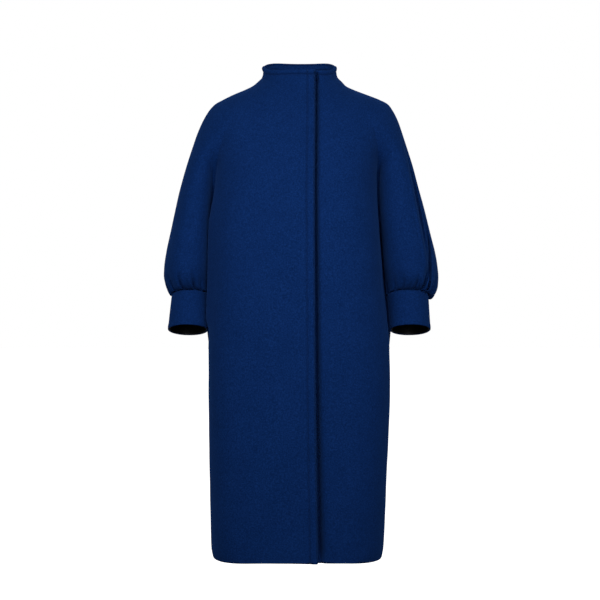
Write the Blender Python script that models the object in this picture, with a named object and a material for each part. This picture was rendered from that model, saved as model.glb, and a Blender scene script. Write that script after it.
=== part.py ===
"""Cocoon coat with a grown-on funnel collar and kimono sleeves gathered into wide cuffs.

Metres, +Z up, the front towards -Y, the wearer's left towards +X. The origin is at the base of
the neck, between the shoulders, where the wearer carries the coat. Tables are in millimetres.
"""
import math
from collections import namedtuple

import bmesh
import bpy
from mathutils import Vector

MM = 0.001

# Driving sizes, in millimetres
WALL = 2.5
LINING_WALL = 1.0
SEAM_GAP = 0.3
LAP_GAP = 1.5
UNDERLAP_REACH = 30
LAP_FADE = (4, 35)
STAND_REACH = 60
SLOT = 5
SWELL_SPAN = 150
PLEAT_DEPTH = 3
CUFF_HEIGHT = 75
CUFF_TILT = 14
LINING_CLEARANCE = 0.4
LINING_DOWNS = (2, 37.5, 71)

# Facets across each stretch of cloth, the share of a ring that belongs to the body, how square the
# plain rings and the sleeves' fronts beside the body are, and how the collar's rings keep the
# centre's level until near the sides
BODY_COLUMNS = 9
SLEEVE_COLUMNS = 8
BODY_SHARE = 0.6
PLAIN_CORNER = 2.1
SLEEVE_CORNER = 2.8
SLEEVE_CORNER_FADE = (-417, -360)
COLLAR_RISE = 1.5
COLLAR_RISE_FADE = (1.5, 5)
FINE = 72
EVEN_TURNS = (270, 350)
MERGE = 1e-6

# Rings round the whole coat from the collar's rim to the underarm. side_z, right and left are on
# the shoulder and overarm seams, and the others on the centre front and the centre back.
Ring = namedtuple("Ring", "number side_z right left front_z front back_z back")
RINGS = [
    Ring(0, 60, 77.5, 76.5, 44.6, 71.5, 75, 66),
    Ring(1, 55.5, 79.6, 77.5, 40, 73.5, 70.5, 68),
    Ring(2, 45, 77.5, 77, 30, 72.5, 60, 67),
    Ring(3, 36.5, 79.5, 79, 20, 73.5, 50, 68),
    Ring(4, 27, 88, 88, 7, 78, 38, 71.5),
    Ring(5, 18, 99, 96.5, -10, 85, 24, 76.5),
    Ring(6, 8.5, 118, 117, -30, 94, 6, 83),
    Ring(7, -1.5, 142, 143.5, -52, 103.5, -15, 91),
    Ring(8, -11, 161.5, 167.5, -76, 113, -39, 99.5),
    Ring(9, -20, 177.5, 184, -101, 122.5, -66, 108.5),
    Ring(10, -34, 190.5, 194.5, -127, 131, -95, 117.5),
    Ring(11, -53, 202, 204, -152, 139.4, -124, 126.7),
    Ring(12, -80, 214, 213.5, -176, 146, -153, 135.6),
    Ring(13, -114, 226, 224.5, -199, 151.3, -180, 143.1),
    Ring(14, -155, 239.2, 237, -221, 155.3, -207, 149.7),
    Ring(15, -195, 250.5, 248, -240, 158.1, -230, 154.4),
    Ring(16, -233, 259, 258.5, -256, 159.7, -251, 157.7),
    Ring(17, -270, 267.3, 268, -270, 160.7, -270, 160),
]

# The folds where the hanging sleeves leave the body, by ring number: how far the ring has parted
# into a body and two sleeves, the body's half widths, how deep each fold is cut (1 reaches the
# underarm), the sleeves' reach to front and back, how square the body's front and back are, how
# far round to the front each overarm seam sits, in degrees, and how far the body's side swells
# out behind each sleeve.
Fold = namedtuple("Fold", "number split right left cut_r cut_l front back "
                          "corner_f corner_b turn_r turn_l swell_r swell_l")
FOLDS = [
    Fold(8, 0, 166, 161, 0, 0, 50, 52, 2.1, 2.1, 0, 0, 0, 0),
    Fold(10, 0.08, 168, 161, 0.02, 0.05, 57, 60, 2.2, 2.15, 0, 0, 0, 0),
    Fold(12, 0.5, 171, 160, 0.12, 0.25, 65, 69, 2.5, 2.2, -1, 3, 0, 0),
    Fold(14, 1, 175, 160, 0.45, 0.65, 75, 80, 2.9, 2.3, -4, 18, 0, 0),
    Fold(16, 1, 180, 162, 0.85, 0.93, 83, 88, 3.2, 2.35, -6, 33, 12, 12),
    Fold(17, 1, 182, 164, 1, 1, 87, 92, 3.3, 2.4, -6, 36, 22, 21.5),
]

# The body below the underarm. turn_r and turn_l place the side seams in degrees from the centre
# front, where 90 is the widest line. swell_r and swell_l stand the sides out behind the sleeves.
Body = namedtuple("Body", "z right left front back corner_f corner_b turn_r turn_l "
                          "swell_r swell_l")
BODY = [
    Body(-270, 182, 164, 160.7, 160, 3.3, 2.4, 90, 90, 22, 21.5),
    Body(-330, 183.5, 168, 164.9, 167.2, 3.35, 2.4, 91, 84, 22, 21.5),
    Body(-400, 185.5, 174, 167.2, 172.8, 3.4, 2.4, 92, 77, 21.5, 21),
    Body(-470, 187.5, 181, 168, 175.3, 3.4, 2.4, 93, 72, 23, 24),
    Body(-535, 190.3, 186.2, 168, 176, 3.45, 2.4, 93, 70, 12, 13),
    Body(-620, 190.3, 187.3, 168, 174, 3.5, 2.4, 93, 69, 4, 4),
    Body(-720, 189.5, 184, 168, 169, 3.5, 2.4, 93, 69, 0, 0),
    Body(-820, 187, 179, 167.5, 161.5, 3.5, 2.45, 93, 69, 0, 0),
    Body(-900, 185.5, 175.5, 166.5, 155, 3.5, 2.5, 93, 69, 0, 0),
    Body(-959, 184, 172.5, 166, 150, 3.5, 2.5, 93, 69, 0, 0),
]

# The sleeves below the underarm, by the height of each ring's middle. A ring tips up to the front
# by tilt degrees and hangs lower outside by sag. pleat is the share of the pleats' full depth.
Sleeve = namedtuple("Sleeve", "z out_r out_l in_r in_l front back middle tilt sag_r sag_l "
                              "turn_r turn_l pleat")
SLEEVE = [
    Sleeve(-270, 267.3, 268, 187, 169, 87, 92, 0, 0, 0, 0, -6, 36, 0),
    Sleeve(-300, 274, 275.5, 187.5, 171, 91, 96, 0, 1.5, 0, 0, -6, 38, 0),
    Sleeve(-330, 280, 283, 188, 173, 93, 99, -1, 3, 0, 0, -7, 40, 0),
    Sleeve(-360, 284, 288, 188.5, 175.5, 93, 101, -3, 5, 0, 0, -7, 43, 0.1),
    Sleeve(-380, 284.8, 289.6, 189, 177.5, 91, 100, -6, 7, 0, 2, -8, 44, 0.4),
    Sleeve(-397, 281.8, 288.6, 189.3, 179, 85, 95, -10, 9, 1, 5, -8, 45, 0.8),
    Sleeve(-409, 276.8, 284.5, 189.6, 180, 76, 86, -14, 11, 3, 8, -8, 45, 1),
    Sleeve(-417, 271.5, 278, 189.8, 180.7, 63, 70, -18, 13, 4, 8, -8, 45, 0.8),
    Sleeve(-420, 267.5, 268, 190, 181, 48, 48, -20, CUFF_TILT, 0, 0, -8, 45, 0),
]

# A cuff's two rims. The lower one flares a little.
Rim = namedtuple("Rim", "down out_r out_l in_r in_l depth")
CUFF = [
    Rim(0, 267.5, 268, 190, 181, 48),
    Rim(0.5, 271, 269.5, 190.5, 184, 49.2),
    Rim(1, 274.2, 271, 191, 187, 50),
]

# The closure: where the right front's edge runs, and how far it stands off.
Closure = namedtuple("Closure", "z edge stand")
CLOSURE = [
    Closure(-959, 36, 7),
    Closure(-790, 33, 6),
    Closure(-640, 31, 5),
    Closure(-430, 30, 3.8),
    Closure(-220, 29, 3),
    Closure(-80, 30.5, 2.5),
    Closure(60, 31.5, 2.2),
]

SIDES = {"right": -1, "left": 1}
FACES = {"front": -1, "back": 1}
PIECES = ["front_right", "front_left", "back"]
WOOL = ("wool", (0.004, 0.018, 0.09, 1), 0.9)
LINING = ("lining", (0.004, 0.004, 0.006, 1), 0.5)


def row_at(table, where):
    """The table's row at a value of its first column, between rows by a monotone cubic."""
    keys = [row[0] for row in table]
    way = 1 if keys[-1] > keys[0] else -1
    passed = sum(1 for key in keys if key * way <= where * way)
    index = max(0, min(len(keys) - 2, passed - 1))
    span = keys[index + 1] - keys[index]
    part = (where - keys[index]) / span
    values = []
    for column in zip(*table):
        rise = column[index + 1] - column[index]
        start = slope(keys, column, index) * span
        end = slope(keys, column, index + 1) * span
        bend = 3 * rise - 2 * start - end + part * (start + end - 2 * rise)
        values.append(column[index] + part * (start + part * bend))
    return type(table[0])(*values)


def slope(keys, column, index):
    """The monotone slope of a table's column at one of its rows."""
    steps = [(column[i + 1] - column[i]) / (keys[i + 1] - keys[i]) for i in range(len(keys) - 1)]
    if index == 0:
        return steps[0]
    if index == len(keys) - 1:
        return steps[-1]
    before, after = steps[index - 1], steps[index]
    return 2 * before * after / (before + after) if before * after > 0 else 0


def of_side(row, name, side):
    """A row's value for the wearer's right or left."""
    return getattr(row, name + "_" + side[0])


def mix(first, second, part):
    """A number between two numbers, or a point between two points."""
    if isinstance(first, tuple):
        return tuple(mix(a, b, part) for a, b in zip(first, second))
    return first + (second - first) * part


def ease(value, low, high):
    """0 below low, 1 above high, and an even S between."""
    part = max(0, min(1, (value - low) / (high - low)))
    return part * part * (3 - 2 * part)


def spread(line, count):
    """A line's points moved to count even steps of its length."""
    lengths = [0]
    for first, second in zip(line, line[1:]):
        lengths.append(lengths[-1] + math.dist(first, second))
    points = [line[0]]
    index = 0
    for step in range(1, count):
        aim = lengths[-1] * step / count
        while lengths[index + 1] < aim:
            index += 1
        part = (aim - lengths[index]) / (lengths[index + 1] - lengths[index])
        points.append(mix(line[index], line[index + 1], part))
    return points + [line[-1]]


def both_ways(row, side):
    """A row's half widths, this side's first."""
    return (row.right, row.left) if side == "right" else (row.left, row.right)


def both_faces(front, back, face):
    """Two values for the front and the back, this face's first."""
    return (front, back) if face == "front" else (back, front)


def power_of(value, power):
    """A signed power, for a superellipse."""
    return math.copysign(abs(value) ** power, value)


def body_line(widths, depths, corners, reach, end_turn, swell=0, face="front"):
    """The body's section from the centre line to end_turn degrees round one side.

    Points are (outwards, ahead) of the coat's middle. widths are to this side and the other,
    depths and corners on this face and on the far one. A reach starts the line past the centre.
    The swell is at its fullest halfway along SWELL_SPAN behind the coat's middle.
    """
    start_turn = -math.degrees(math.asin((reach / widths[1]) ** (corners[0] / 2)))
    line = []
    for step in range(FINE + 1):
        turn = math.radians(mix(start_turn, end_turn, step / FINE))
        width = widths[0] if turn >= 0 else widths[1]
        far = 1 if math.cos(turn) < 0 else 0
        power = 2 / corners[far]
        ahead = depths[far] * power_of(math.cos(turn), power)
        behind = max(0, min(SWELL_SPAN, FACES[face] * ahead))
        width += swell * math.sin(math.pi * behind / SWELL_SPAN) ** 4
        line.append((width * power_of(math.sin(turn), power), ahead))
    return line


def sleeve_line(inner, outer, depths, start_turn, end_turn, steps=FINE, corner=2):
    """A sleeve's section in degrees: 0 is at the body, 90 ahead and 180 outside.

    A corner over 2 makes its quarter between the body and straight ahead squarer.
    """
    middle = (inner + outer) / 2
    radius = (outer - inner) / 2
    line = []
    for step in range(steps + 1):
        turn = math.radians(mix(start_turn, end_turn, step / steps))
        ahead = depths[0] if math.sin(turn) >= 0 else depths[1]
        power = 2 / corner if math.cos(turn) > 0 and math.sin(turn) > 0 else 1
        line.append((middle - radius * power_of(math.cos(turn), power),
                     ahead * power_of(math.sin(turn), power)))
    return line


def plain_lines(ring, side, depth, reach):
    """A ring of the collar or the shoulders, as a body stretch and a sleeve stretch."""
    line = body_line(both_ways(ring, side), (depth, depth), (PLAIN_CORNER, PLAIN_CORNER), reach, 90)
    lengths = [0]
    for first, second in zip(line, line[1:]):
        step = math.dist(first, second) if second[0] > 0 else 0
        lengths.append(lengths[-1] + step)
    aim = BODY_SHARE * lengths[-1]
    index = max(i for i, length in enumerate(lengths) if length < aim)
    part = (aim - lengths[index]) / (lengths[index + 1] - lengths[index])
    split = mix(line[index], line[index + 1], part)
    return line[:index + 1] + [split], [split] + line[index + 1:]


def folded_lines(ring, fold, side, face, depth, reach):
    """A ring that a fold parts into a body stretch and a sleeve stretch."""
    widths = both_ways(fold, side)
    depths = both_faces(fold.front, fold.back, face)
    corners = both_faces(fold.corner_f, fold.corner_b, face)
    valley = 1 - of_side(fold, "cut", side)
    body_end = math.degrees(math.acos((depths[0] * valley / depth) ** (corners[0] / 2)))
    swell = of_side(fold, "swell", side)
    body = body_line(widths, (depth, depth), corners, reach, body_end, swell, face)
    turn = of_side(fold, "turn", side) * -FACES[face]
    corner = mix(2, SLEEVE_CORNER, fold.split ** 2) if face == "front" else 2
    sleeve = sleeve_line(widths[0] + SLOT, getattr(ring, side), depths,
                         math.degrees(math.asin(valley ** (corner / 2))), 180 - turn, corner=corner)
    return body, sleeve


def lap_shift(side, across, z):
    """How far a front lies ahead of the coat's own surface, near the closure."""
    closure = row_at(CLOSURE, z)
    if side == "right":
        return closure.stand * ease(-across, closure.edge - STAND_REACH, closure.edge)
    away = ease(across, closure.edge + LAP_FADE[0], closure.edge + LAP_FADE[1])
    return -(WALL + LAP_GAP) * (1 - away)


def reach_past_centre(side, face, z):
    """How far a stretch runs past the centre line: the overlap, the underlap or nothing."""
    if face == "back":
        return 0
    return row_at(CLOSURE, z).edge if side == "right" else UNDERLAP_REACH


def place(side, face, across, ahead, z):
    """A point of the coat in metres from its place on one side and face."""
    if face == "front":
        ahead += lap_shift(side, across, z)
    return Vector((SIDES[side] * across, FACES[face] * ahead, z)) * MM


def upper_row(number, side, face):
    """One ring's row of points from the centre to the overarm seam."""
    ring = row_at(RINGS, number)
    depth = getattr(ring, face)
    centre_z = getattr(ring, face + "_z")
    reach = reach_past_centre(side, face, centre_z)
    body, sleeve = plain_lines(ring, side, depth, reach)
    body, sleeve = spread(body, BODY_COLUMNS), spread(sleeve, SLEEVE_COLUMNS)
    fold = row_at(FOLDS, max(number, FOLDS[0].number))
    if fold.split > 0:
        parted = folded_lines(ring, fold, side, face, depth, reach)
        parted_body, parted_sleeve = spread(parted[0], BODY_COLUMNS), spread(parted[1], SLEEVE_COLUMNS)
        body = [mix(a, b, fold.split) for a, b in zip(body, parted_body)]
        sleeve = [mix(a, b, fold.split) for a, b in zip(sleeve, parted_sleeve)]
    length = sum(math.dist(a, b) for a, b in zip(body, body[1:]))
    steps = [length * i / BODY_COLUMNS for i in range(BODY_COLUMNS + 1)]
    shares = [BODY_SHARE * abs(step - reach) / (length - reach) for step in steps]
    shares += [mix(BODY_SHARE, 1, i / SLEEVE_COLUMNS) for i in range(SLEEVE_COLUMNS + 1)]
    rise = 1 + COLLAR_RISE * (1 - ease(number, *COLLAR_RISE_FADE))
    row = []
    for (across, ahead), share in zip(body + sleeve, shares):
        z = mix(ring.side_z, centre_z, math.cos(share ** rise * math.pi / 2) ** 2)
        row.append(place(side, face, across, ahead, z))
    return row


def body_row(z, side, face):
    """One row of the body below the underarm, from the centre to the side seam."""
    body = row_at(BODY, z)
    turn = of_side(body, "turn", side)
    line = body_line(both_ways(body, side), both_faces(body.front, body.back, face),
                     both_faces(body.corner_f, body.corner_b, face),
                     reach_past_centre(side, face, z), turn if face == "front" else 180 - turn,
                     of_side(body, "swell", side), face)
    return [place(side, face, across, ahead, z) for across, ahead in spread(line, BODY_COLUMNS)]


def sleeve_row(z, side, face):
    """One row of a sleeve below the underarm, from the underarm seam to the overarm seam."""
    ring = row_at(SLEEVE, z)
    inner, outer = of_side(ring, "in", side), of_side(ring, "out", side)
    depths = both_faces(ring.front, ring.back, face)
    turn = of_side(ring, "turn", side) * -FACES[face]
    corner = mix(2, SLEEVE_CORNER, ease(z, *SLEEVE_CORNER_FADE)) if face == "front" else 2
    line = spread(sleeve_line(inner, outer, depths, 0, 180 - turn, corner=corner), SLEEVE_COLUMNS)
    turned = sleeve_line(inner, outer, depths, 0, 180 - turn, SLEEVE_COLUMNS, corner)
    turning = ease(-z, *EVEN_TURNS)
    line = [mix(a, b, turning) for a, b in zip(line, turned)]
    middle = (inner + outer) / 2
    row = []
    for index, (across, ahead) in enumerate(line):
        radial = Vector((across - middle, ahead))
        if 0 < index < SLEEVE_COLUMNS:
            radial += radial.normalized() * PLEAT_DEPTH * ring.pleat * (index % 2)
        outside = max(0, radial.x) / (outer - middle)
        y = FACES[face] * radial.y + ring.middle
        lift = -math.tan(math.radians(ring.tilt)) * (y - ring.middle)
        drop = of_side(ring, "sag", side) * outside ** 2
        row.append(Vector((SIDES[side] * (middle + radial.x), y, ring.z + lift - drop)) * MM)
    return row


def add_grid(mesh, rows, piece, flip):
    """Facets between rows of points, marked with the piece that they belong to."""
    made = [[mesh.verts.new(point) for point in row] for row in rows]
    for above, below in zip(made, made[1:]):
        for index in range(len(above) - 1):
            corners = [above[index], above[index + 1], below[index + 1], below[index]]
            facet = mesh.faces.new(corners[::-1] if flip else corners)
            facet.material_index = PIECES.index(piece)


def coat_skin():
    """The outer surface of the fronts and the back, joined at the seams."""
    skin = bmesh.new()
    for side in SIDES:
        for face in FACES:
            piece = "back" if face == "back" else "front_" + side
            flip = (side == "left") == (face == "front")
            add_grid(skin, [upper_row(ring.number, side, face) for ring in RINGS], piece, flip)
            add_grid(skin, [body_row(row.z, side, face) for row in BODY], piece, flip)
            rows = [sleeve_row(row.z, side, face) for row in SLEEVE]
            rows[-1] = [point + Vector((0, 0, SEAM_GAP * MM)) for point in rows[-1]]
            add_grid(skin, rows, piece, flip)
    bmesh.ops.remove_doubles(skin, verts=skin.verts[:], dist=MERGE)
    skin.verts.index_update()
    skin.normal_update()
    return skin


def seam_shift(vertex, piece):
    """Half the seam gap, from a seam's vertex into its own piece."""
    into = []
    for edge in vertex.link_edges:
        own = [facet for facet in edge.link_faces if facet.material_index == piece]
        if len(own) == 1 and len(edge.link_faces) == 2:
            along = (edge.verts[1].co - edge.verts[0].co).normalized()
            inward = own[0].calc_center_median() - edge.verts[0].co
            into.append((inward - inward.project(along)).normalized())
    if not into:
        return Vector()
    other = into[1] if len(into) > 1 else into[0]
    return (into[0] + other) * (SEAM_GAP * MM / 2) / (1 + into[0].dot(other))


def thick_piece(name, skin, piece, wall, finish):
    """A closed solid: one piece of the skin, and its inner side a wall's thickness within."""
    facets = [facet for facet in skin.faces if facet.material_index == piece]
    solid = bmesh.new()
    outer, inner = {}, {}
    for vertex in {corner for facet in facets for corner in facet.verts}:
        place_out = vertex.co + seam_shift(vertex, piece)
        outer[vertex] = solid.verts.new(place_out)
        inner[vertex] = solid.verts.new(place_out - vertex.normal * wall * MM)
    for facet in facets:
        solid.faces.new([outer[corner] for corner in facet.verts])
        solid.faces.new([inner[corner] for corner in reversed(facet.verts)])
        for loop in facet.loops:
            here, there = loop.vert, loop.link_loop_next.vert
            own = [other for other in loop.edge.link_faces if other.material_index == piece]
            if len(own) > 1:
                continue
            split = (here, there) if here.index < there.index else (there, here)
            solid.faces.new([outer[there], outer[here], inner[split[0]]])
            solid.faces.new([outer[split[1]], inner[here], inner[there]])
    mesh = bpy.data.meshes.new(name)
    solid.to_mesh(mesh)
    solid.free()
    mesh.shade_smooth()
    mesh.materials.append(finish)
    part = bpy.data.objects.new(name, mesh)
    bpy.context.scene.collection.objects.link(part)
    return part


def band_skin(rings):
    """The outer surface of a closed band, from its rings of points."""
    skin = bmesh.new()
    made = [[skin.verts.new(point) for point in ring] for ring in rings]
    for above, below in zip(made, made[1:]):
        for index in range(len(above)):
            after = (index + 1) % len(above)
            skin.faces.new([above[index], above[after], below[after], below[index]])
    skin.normal_update()
    return skin


def cuff_ring(side, down, shrink=0):
    """A ring of points round a cuff, at a distance down its slanting length."""
    rim = row_at(CUFF, max(0, min(1, down / CUFF_HEIGHT)))
    inner, outer = of_side(rim, "in", side) + shrink, of_side(rim, "out", side) - shrink
    depth = rim.depth - shrink
    top = SLEEVE[-1]
    lean = math.radians(CUFF_TILT)
    middle_y = top.middle - down * math.sin(lean)
    middle_z = top.z - down * math.cos(lean)
    ring = []
    for face in FACES:
        turn = of_side(top, "turn", side) * -FACES[face]
        line = sleeve_line(inner, outer, (depth, depth), 0, 180 - turn, SLEEVE_COLUMNS)
        points = [Vector((SIDES[side] * across, middle_y + FACES[face] * ahead,
                          middle_z - FACES[face] * ahead * math.tan(lean))) * MM
                  for across, ahead in line]
        ring += points[:-1] if face == "front" else points[:0:-1]
    return ring if side == "right" else ring[::-1]


def cuff(side, finish):
    """The band that the sleeve is gathered into."""
    rings = [cuff_ring(side, rim.down * CUFF_HEIGHT) for rim in CUFF]
    skin = band_skin(rings)
    thick_piece("cuff_" + side, skin, 0, WALL, finish)
    skin.free()


def cuff_lining(side, finish):
    """The dark lining that shows inside the cuff's lower rim."""
    shrink = WALL + LINING_CLEARANCE
    skin = band_skin([cuff_ring(side, down, shrink) for down in LINING_DOWNS])
    thick_piece("cuff_lining_" + side, skin, 0, LINING_WALL, finish)
    skin.free()


def material(name, colour, roughness):
    """A plain cloth colour."""
    made = bpy.data.materials.new(name)
    made.use_nodes = True
    shader = made.node_tree.nodes["Principled BSDF"]
    shader.inputs["Base Color"].default_value = colour
    shader.inputs["Roughness"].default_value = roughness
    shader.inputs["Metallic"].default_value = 0
    return made


def main():
    """Builds the coat's pieces."""
    for old in list(bpy.data.objects):
        bpy.data.objects.remove(old)
    wool = material(*WOOL)
    lining = material(*LINING)
    skin = coat_skin()
    for index, name in enumerate(PIECES):
        thick_piece(name, skin, index, WALL, wool)
    skin.free()
    for side in SIDES:
        cuff(side, wool)
        cuff_lining(side, lining)


main()
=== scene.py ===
import math
from collections import namedtuple

import bmesh
import bpy
import numpy as np
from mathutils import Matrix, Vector, noise


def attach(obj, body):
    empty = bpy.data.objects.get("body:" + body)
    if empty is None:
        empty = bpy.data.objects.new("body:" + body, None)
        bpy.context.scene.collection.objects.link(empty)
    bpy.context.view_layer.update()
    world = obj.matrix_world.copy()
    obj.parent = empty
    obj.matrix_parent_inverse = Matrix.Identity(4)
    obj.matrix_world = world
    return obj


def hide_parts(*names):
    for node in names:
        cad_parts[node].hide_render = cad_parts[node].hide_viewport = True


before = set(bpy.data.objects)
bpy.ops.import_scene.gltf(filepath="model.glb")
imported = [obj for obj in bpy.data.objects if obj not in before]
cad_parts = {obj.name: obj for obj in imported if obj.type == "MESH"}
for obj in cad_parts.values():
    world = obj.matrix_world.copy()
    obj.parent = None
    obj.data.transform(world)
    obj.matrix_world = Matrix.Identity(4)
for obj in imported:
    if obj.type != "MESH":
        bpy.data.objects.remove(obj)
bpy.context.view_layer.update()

# Lengths are in millimetres until a point is made. The front is towards -Y. A fade is a pair of
# values between which something begins or ends.
MM = 0.001
WALL = 2.5
LINING_WALL = 1.0

# The closure: the underlap sinks under the overlap, with a trench beside the overlap's edge. The
# trench's centre is in trench widths past the edge.
LAP_GAP = 1.5
UNDERLAP_REACH = 30
LAP_FADE = (4, 35)
STAND_REACH = 60
TRENCH_AT = 0.7
TRENCH_DEPTH = 30
TRENCH_HEM_SHARE = 0.3
TRENCH_RIM_SHARE = 0.06
TRENCH_HEM_FADE = (-963, -932)
TRENCH_RIM_FADE = (-47, -22)

# The body, the sleeves and the folds between them. A corner is a superellipse's power.
SLOT = 5
BODY_SHARE = 0.6
PLAIN_CORNER = 2.1
SLEEVE_CORNER = 2.8
SLEEVE_CORNER_FADE = (-417, -360)
SWELL_SPAN = 150
SWELL_POWER = 4
FRONT_SWELL = {"right": 9, "left": 0}
FRONT_SWELL_SPAN = 130
FRONT_SWELL_FADE = (-500, -465)
FRONT_SWELL_POWER = 1.5
COLLAR_RISE = 1.5
COLLAR_RISE_FADE = (1.5, 5)
HEM_DROP = 4
HEM_DROP_ACROSS_FADE = (60, 165)
HEM_DROP_DOWN_FADE = (860, 959)
CUFF_HEIGHT = 75
CUFF_TILT = 14
LINING_CLEARANCE = 0.4

# Columns of facets over each stretch of cloth, with closer ones at the edges and seams, and rows.
FINE = 240
MERGE = 1e-6
BODY_COLUMNS = 56
SLEEVE_COLUMNS = 84
BRIDGE_COLUMNS = 4
CUFF_COLUMNS = 60
EDGE_STATIONS = (0, 2, 4, 7, 10, 12.5, 14, 15, 15.6, 16.2, 16.8, 17.4, 18.4, 20, 23, 27)
TRENCH_STATIONS = (-7, -4, -2, -0.8, 0.2, 1.1, 2, 2.9, 3.8, 4.7, 5.7, 6.9, 8.4, 10.5, 13.5, 18)
HIDDEN_STATIONS = (0, 12, 24, 36)
SEAM_STATIONS = (0, 1.1, 2.1, 3.2, 5, 8)
SEAM_STATIONS_FADE = (270, 300)
COLLAR_ROWS = (0, 0.45, 0.75, 1, 1.15, 1.3, 1.42, 1.5, 1.58, 1.667, 1.75, 1.83, 1.92, 2.05, 2.2,
               2.4, 2.6, 2.8)
EVEN_ROWS_FROM = 3
RING_STEPS = 4
FIRST_RING_DROP = 4.6
RING_DROP = 10.2
# Where the folds begin, as distances out, ahead or behind, and down, and how often it is evened out.
FOLD_STARTS = ((115, 190), (35, 130), (3, 70))
FOLD_START_TURNS = 12
BODY_STEP = 9
HEM_ROWS = (-951, -954.5, -957, -959)
SLEEVE_STEP = 3.2
SLEEVE_END_ROWS = (-412, -414, -415.5, -416.5, -417.2, -417.9, -418.5, -419, -419.5, -420)

# The form of the solids, with slight changes at the collar's rim, in the wearer's left fold and at
# the hem. Widths are distances from the centre plane, front and back are half depths, and turns are
# in degrees. Rings run round the coat from the collar's rim to the underarm.
Ring = namedtuple("Ring", "number side_z right left front_z front back_z back")
RINGS = [
    Ring(0, 61.2, 76.3, 75.3, 44.6, 71.5, 75, 66),
    Ring(1, 55.5, 79.6, 77.5, 40, 73.5, 70.5, 68),
    Ring(2, 45, 77.5, 77, 30, 72.5, 60, 67),
    Ring(3, 36.5, 79.5, 79, 20, 73.5, 50, 68),
    Ring(4, 27, 88, 88, 7, 78, 38, 71.5),
    Ring(5, 18, 99, 96.5, -10, 85, 24, 76.5),
    Ring(6, 8.5, 118, 117, -30, 94, 6, 83),
    Ring(7, -1.5, 142, 143.5, -52, 103.5, -15, 91),
    Ring(8, -11, 161.5, 167.5, -76, 113, -39, 99.5),
    Ring(9, -20, 177.5, 184, -101, 122.5, -66, 108.5),
    Ring(10, -34, 190.5, 194.5, -127, 131, -95, 117.5),
    Ring(11, -53, 202, 204, -152, 139.4, -124, 126.7),
    Ring(12, -80, 214, 213.5, -176, 146, -153, 135.6),
    Ring(13, -114, 226, 224.5, -199, 151.3, -180, 143.1),
    Ring(14, -155, 239.2, 237, -221, 155.3, -207, 149.7),
    Ring(15, -195, 250.5, 248, -240, 158.1, -230, 154.4),
    Ring(16, -233, 259, 258.5, -256, 159.7, -251, 157.7),
    Ring(17, -270, 267.3, 268, -270, 160.7, -270, 160),
]

# How the body and a sleeve part at a ring: split is how far apart they lie, and cut is how deep the
# fold is.
Fold = namedtuple("Fold", "number split right left cut_r cut_l front back "
                          "corner_f corner_b turn_r turn_l swell_r swell_l")
FOLDS = [
    Fold(8, 0, 166, 161, 0, 0, 50, 52, 2.1, 2.1, 0, 0, 0, 0),
    Fold(10, 0.08, 168, 161, 0.02, 0.05, 57, 60, 2.2, 2.15, 0, 0, 0, 0),
    Fold(12, 0.5, 171, 160, 0.12, 0.25, 65, 69, 2.5, 2.2, -1, 3, 0, 0),
    Fold(14, 1, 175, 160, 0.45, 0.71, 75, 80, 2.9, 2.3, -4, 18, 0, 0),
    Fold(16, 1, 180, 162, 0.85, 0.96, 83, 88, 3.2, 2.35, -6, 33, 12, 12),
    Fold(17, 1, 182, 164, 1, 1, 87, 92, 3.3, 2.4, -6, 36, 22, 21.5),
]

# The body below the underarm. Swell makes it fuller behind.
Body = namedtuple("Body", "z right left front back corner_f corner_b turn_r turn_l "
                          "swell_r swell_l")
BODY = [
    Body(-270, 182, 164, 160.7, 160, 3.3, 2.4, 90, 90, 22, 21.5),
    Body(-330, 183.5, 168, 164.9, 167.2, 3.35, 2.4, 91, 84, 22, 21.5),
    Body(-400, 185.5, 174, 167.2, 172.8, 3.4, 2.4, 92, 77, 21.5, 21),
    Body(-470, 187.5, 181, 168, 175.3, 3.4, 2.4, 93, 72, 23, 24),
    Body(-535, 190.3, 186.2, 168, 176, 3.45, 2.4, 93, 70, 12, 13),
    Body(-620, 190.3, 187.3, 168, 174, 3.5, 2.4, 93, 69, 4, 4),
    Body(-720, 189.5, 184, 168, 169, 3.5, 2.4, 93, 69, 0, 0),
    Body(-820, 187, 179, 167.5, 161.5, 3.5, 2.45, 93, 69, 0, 0),
    Body(-900, 185.5, 175.5, 166.5, 155, 3.5, 2.5, 93, 69, 0, 0),
    Body(-940, 184.3, 173.5, 166.2, 151.8, 3.4, 2.5, 93, 69, 0, 0),
    Body(-959, 180.5, 169.8, 165.6, 149.4, 3.2, 2.5, 93, 69, 0, 0),
]

# The sleeves below the underarm, their middle ahead or behind, their slant and their outer sag.
Sleeve = namedtuple("Sleeve", "z out_r out_l in_r in_l front back middle tilt sag_r sag_l "
                              "turn_r turn_l gather")
SLEEVE = [
    Sleeve(-270, 267.3, 268, 187, 169, 87, 92, 0, 0, 0, 0, -6, 36, 0),
    Sleeve(-300, 274, 275.5, 187.5, 171, 91, 96, 0, 1.5, 0, 0, -6, 38, 0),
    Sleeve(-330, 280, 283, 188, 173, 93, 99, -1, 3, 0, 0, -7, 40, 0),
    Sleeve(-360, 284, 288, 188.5, 175.5, 93, 101, -3, 5, 0, 0, -7, 43, 0.15),
    Sleeve(-380, 284.8, 289.6, 189, 177.5, 91, 100, -6, 7, 0, 2, -8, 44, 0.45),
    Sleeve(-397, 281.8, 288.6, 189.3, 179, 85, 95, -10, 9, 1, 5, -8, 45, 0.85),
    Sleeve(-409, 276.8, 284.5, 189.6, 180, 76, 86, -14, 11, 3, 8, -8, 45, 1),
    Sleeve(-417, 271.5, 278, 189.8, 180.7, 63, 70, -18, 13, 4, 8, -8, 45, 0.9),
    Sleeve(-420, 267.5, 268, 190, 181, 48, 48, -20, CUFF_TILT, 0, 0, -8, 45, 0.1),
]

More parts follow.
